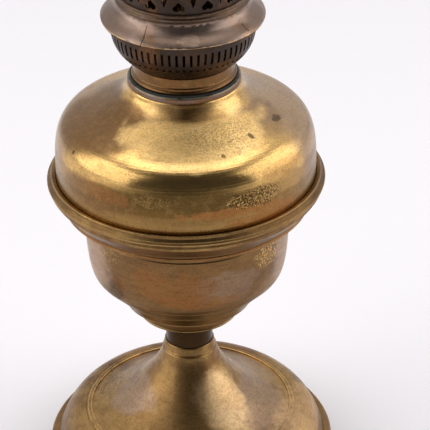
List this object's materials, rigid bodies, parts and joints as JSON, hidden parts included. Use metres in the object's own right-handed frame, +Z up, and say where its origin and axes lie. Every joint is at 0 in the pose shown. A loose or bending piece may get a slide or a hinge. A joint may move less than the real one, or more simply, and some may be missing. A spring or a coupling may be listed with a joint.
{
  "type": "oil lamp",
  "caption": "Brass table oil lamp: spun trumpet foot, domed oil font, round wick burner with slotted basket, saucer flange, heart-pierced gallery and a glass chimney.",
  "frame": {"origin": "centre of the foot's bottom, on the surface that the lamp stands on", "axes": "+Z up along the lamp's axis, +Y to the back, where the wick knob is, +X to the right seen from the front"},
  "size_m": [0.16, 0.16, 0.5307],
  "materials": {
    "foot_brass": "old polished brass with a brown patina, spun",
    "font_brass": "old polished brass, golden where it is rubbed, brown where it is not",
    "bowl_brass": "brown brass with fine rings of brushing and darker stains",
    "stem_brass": "dark brown oxidised brass",
    "collar_brass": "brass with grey green verdigris",
    "burner_brass": "dull brown burner brass",
    "basket_brass": "sooty dark brown brass",
    "flange_brass": "grey brown satin brass, worn gold along its edge",
    "tube_brass": "plain brass, dulled by heat",
    "weight_iron": "rough casting",
    "rod_steel": "plain turned steel",
    "seal_rubber": "black sealing ring",
    "wick_cotton": "woven cotton, charred along its top edge",
    "clear_glass": "clear blown glass"
  },
  "bodies": {
    "lamp": {"foot_shell": "foot_brass", "foot_weight": "weight_iron", "base_plate": "tube_brass", "tie_rod": "rod_steel", "rod_washer": "rod_steel", "rod_nut": "rod_steel", "stem_ring": "foot_brass", "stem_tube": "stem_brass", "font_cup": "stem_brass", "font_boss": "tube_brass", "font_bowl": "bowl_brass", "font_floor": "tube_brass", "font_rim": "bowl_brass", "font_bead": "bowl_brass", "font_dome": "font_brass", "font_collar": "collar_brass"},
    "seal": {"seal_ring": "seal_rubber"},
    "burner": {"burner_base": "burner_brass", "burner_floor": "tube_brass", "slotted_basket": "basket_brass", "saucer_flange": "flange_brass", "gallery_bead": "flange_brass", "pierced_gallery": "basket_brass", "chimney_holder": "tube_brass", "outer_wick_tube": "tube_brass", "inner_draught_tube": "tube_brass", "air_port": "tube_brass", "spindle_bracket": "tube_brass", "spindle_sleeve": "burner_brass"},
    "winder": {"spindle": "rod_steel", "wick_wheels": "rod_steel", "knob": "burner_brass", "knob_rivet": "rod_steel"},
    "wick": {"wick": "wick_cotton"},
    "chimney": {"chimney": "clear_glass"}
  },
  "joints": [
    {"name": "burner_lift", "type": "slide", "parent": "lamp", "child": "seal", "axis": [0, 0, 1], "range_m": [0, 0.13]},
    {"name": "burner_turn", "type": "hinge", "parent": "seal", "child": "burner", "pos_m": [0, 0, 0.2334], "axis": [0, 0, 1], "range_deg": [0, 1080]},
    {"name": "knob_turn", "type": "hinge", "parent": "burner", "child": "winder", "pos_m": [0.01792, 0, 0.2574], "axis": [0, 1, 0], "range_deg": [-115, 172]},
    {"name": "wick_raise", "type": "slide", "parent": "burner", "child": "wick", "axis": [0, 0, 1], "range_m": [-0.0081, 0.0121]},
    {"name": "chimney_lift", "type": "slide", "parent": "burner", "child": "chimney", "axis": [0, 0, 1], "range_m": [0, 0.06]}
  ],
  "couplings": [
    {"joint": "wick_raise", "follows": "knob_turn", "m_per_rad": 0.004}
  ]
}
